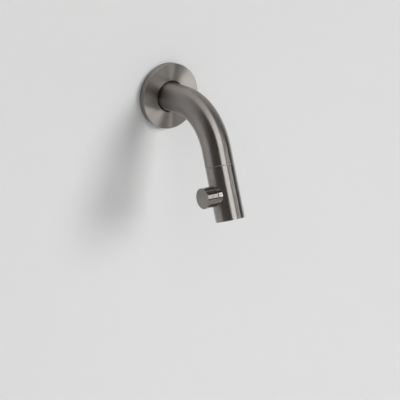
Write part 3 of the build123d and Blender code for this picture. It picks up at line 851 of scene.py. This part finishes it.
def stageMaterial(name, colour):
    material, tree = newMaterial(name)
    place = addNode(tree, "TexCoord").outputs["Object"]
    plaster = addNode(tree, "TexNoise", {"Vector": place, "Scale": 1 / stage["plasterSize"], "Detail": 5.0})
    bump = addNode(tree, "Bump", {
        "Strength": stage["plasterStrength"], "Distance": stage["plasterDepth"],
        "Height": plaster.outputs[0],
    })
    shader = addNode(tree, "BsdfPrincipled", {
        "Base Color": hexColour(colour), "Roughness": stage["roughness"], "Normal": bump.outputs[0],
    })
    clear = addNode(tree, "BsdfTransparent")
    behind = addNode(tree, "NewGeometry").outputs["Backfacing"]
    oneSided = addNode(tree, "MixShader", {0: behind, 1: shader.outputs[0], 2: clear.outputs[0]})
    addNode(tree, "OutputMaterial", {"Surface": oneSided.outputs[0]})
    return material


def makeSheet(name, bm):
    mesh = bpy.data.meshes.new(name)
    bm.to_mesh(mesh)
    bm.free()
    mesh.materials.append(stageMaterial(name, stage[name]))
    sheet = bpy.data.objects.new(name, mesh)
    scene.collection.objects.link(sheet)


def makeWall():
    bm = bmesh.new()
    ends = [bm.verts.new((radius, 0, 0)) for radius in (stage["wallHole"], stage["wallRadius"])]
    bmesh.ops.spin(
        bm, geom=[*ends, bm.edges.new(ends)], cent=(0, 0, 0), axis=(0, 0, 1), angle=2 * pi,
        steps=stage["wallSides"], use_merge=True,
    )
    bmesh.ops.remove_doubles(bm, verts=bm.verts, dist=hair * mm)
    bm.normal_update()
    wrongWay = [face for face in bm.faces if face.normal.z < 0]
    bmesh.ops.reverse_faces(bm, faces=wrongWay)
    bmesh.ops.bisect_plane(
        bm, geom=bm.verts[:] + bm.edges[:] + bm.faces[:], plane_co=(0, -stage["floorDrop"], 0),
        plane_no=(0, -1, 0), clear_outer=True,
    )
    makeSheet("wall", placed(bm, axesFrame((0, stage["wallGap"], 0), (1, 0, 0), (0, -1, 0))))


def makeFloor():
    bm = bmesh.new()
    bmesh.ops.create_grid(
        bm, x_segments=1, y_segments=1, size=stage["floorSize"] / 2,
        matrix=Matrix.Translation((0, 0, -stage["floorDrop"])),
    )
    makeSheet("floor", bm)


makeWall()
makeFloor()


# Soft panels, in degrees and metres. Azimuth is measured from straight into the wall, clockwise from above,
# and elevation from level. The cards only show in the metal, and the lamps only light what is matt.
panels = {
    "windowCard": {"azimuth": 174.5, "elevation": 35, "distance": 1.3, "size": (0.97, 0.93), "glow": 2.35},
    "sillCard": {"azimuth": 182, "elevation": 11.5, "distance": 1.3, "size": (0.72, 0.18), "glow": 1.2},
    "fillCard": {"azimuth": 177, "elevation": -1, "distance": 1.3, "size": (0.60, 0.36), "glow": 0.8},
    "lowCard": {"azimuth": 172, "elevation": -31, "distance": 0.5, "size": (0.23, 0.45), "glow": 2.4},
    "rightCard": {"azimuth": 130, "elevation": -7, "distance": 1.5, "size": (0.38, 0.42), "glow": 4.0},
    "sideCard": {"azimuth": 144, "elevation": 8.5, "distance": 1.5, "size": (0.15, 0.45), "glow": 2.6},
    "highSideCard": {"azimuth": 140.2, "elevation": 25, "distance": 1.5, "size": (0.15, 0.41), "glow": 2.6},
    "upperCard": {"azimuth": 138, "elevation": 66, "distance": 1.5, "size": (0.5, 0.4), "glow": 1.2},
    "overCard": {"azimuth": 98, "elevation": 53, "distance": 1.5, "size": (1.0, 0.5), "glow": 0.085},
    "ceilingCard": {"azimuth": 250, "elevation": 83, "distance": 1.6, "size": (1.64, 0.84), "glow": 0.66},
    "backCard": {"azimuth": 0, "elevation": 12, "distance": 3.0, "size": (4.6, 3.4), "glow": 0.5},
    "keyLamp": {"azimuth": 147, "elevation": 13, "distance": 8.0, "size": (3.8, 3.8), "glow": 8.2},
    "frontLamp": {"azimuth": 212, "elevation": 26, "distance": 5.2, "size": (5.2, 4.4), "glow": 0.75},
    "lowLamp": {"azimuth": 178, "elevation": -25, "distance": 0.9, "size": (1.2, 0.5), "glow": 0.5},
    "backLamp": {"azimuth": 0, "elevation": 35, "distance": 4.0, "size": (4.0, 2.8), "glow": 0.6},
}
target = Vector((0, -0.045, -0.03))  # the middle of the tap


def makeLights():
    for name, panel in panels.items():
        turn, rise = radians(panel["azimuth"]), radians(panel["elevation"])
        outward = Vector((sin(turn) * cos(rise), cos(turn) * cos(rise), sin(rise)))
        width, height = panel["size"]
        lamp = bpy.data.lights.new(name, "AREA")
        lamp.shape = "RECTANGLE"
        lamp.size = width
        lamp.size_y = height
        lamp.energy = panel["glow"] * pi * width * height
        holder = bpy.data.objects.new(name, lamp)
        holder.location = target + outward * panel["distance"]
        holder.rotation_euler = outward.to_track_quat("Z", "Y").to_euler()
        holder.visible_camera = False
        holder.visible_diffuse = not name.endswith("Card")
        holder.visible_glossy = name.endswith("Card")
        scene.collection.objects.link(holder)
    world = bpy.data.worlds.new("room")
    world.use_nodes = True
    background = world.node_tree.nodes["Background"]
    background.inputs["Color"].default_value = hexColour(stage["room"])
    background.inputs["Strength"].default_value = stage["roomStrength"]
    scene.world = world


makeLights()

# Camera, in metres, degrees and millimetres of film
view = {"place": (-0.9406, -1.3145, 0.4138), "yaw": 36.57, "pitch": 17.37, "lens": 180.0, "sensor": 36.0}
lens = bpy.data.cameras.new("camera")
lens.lens = view["lens"]
lens.sensor_width = view["sensor"]
camera = bpy.data.objects.new("camera", lens)
camera.location = view["place"]
camera.rotation_euler = (radians(90 - view["pitch"]), 0, radians(-view["yaw"]))
scene.collection.objects.link(camera)
scene.camera = camera
scene.view_settings.view_transform = "Standard"
print("stage, lights and camera made")
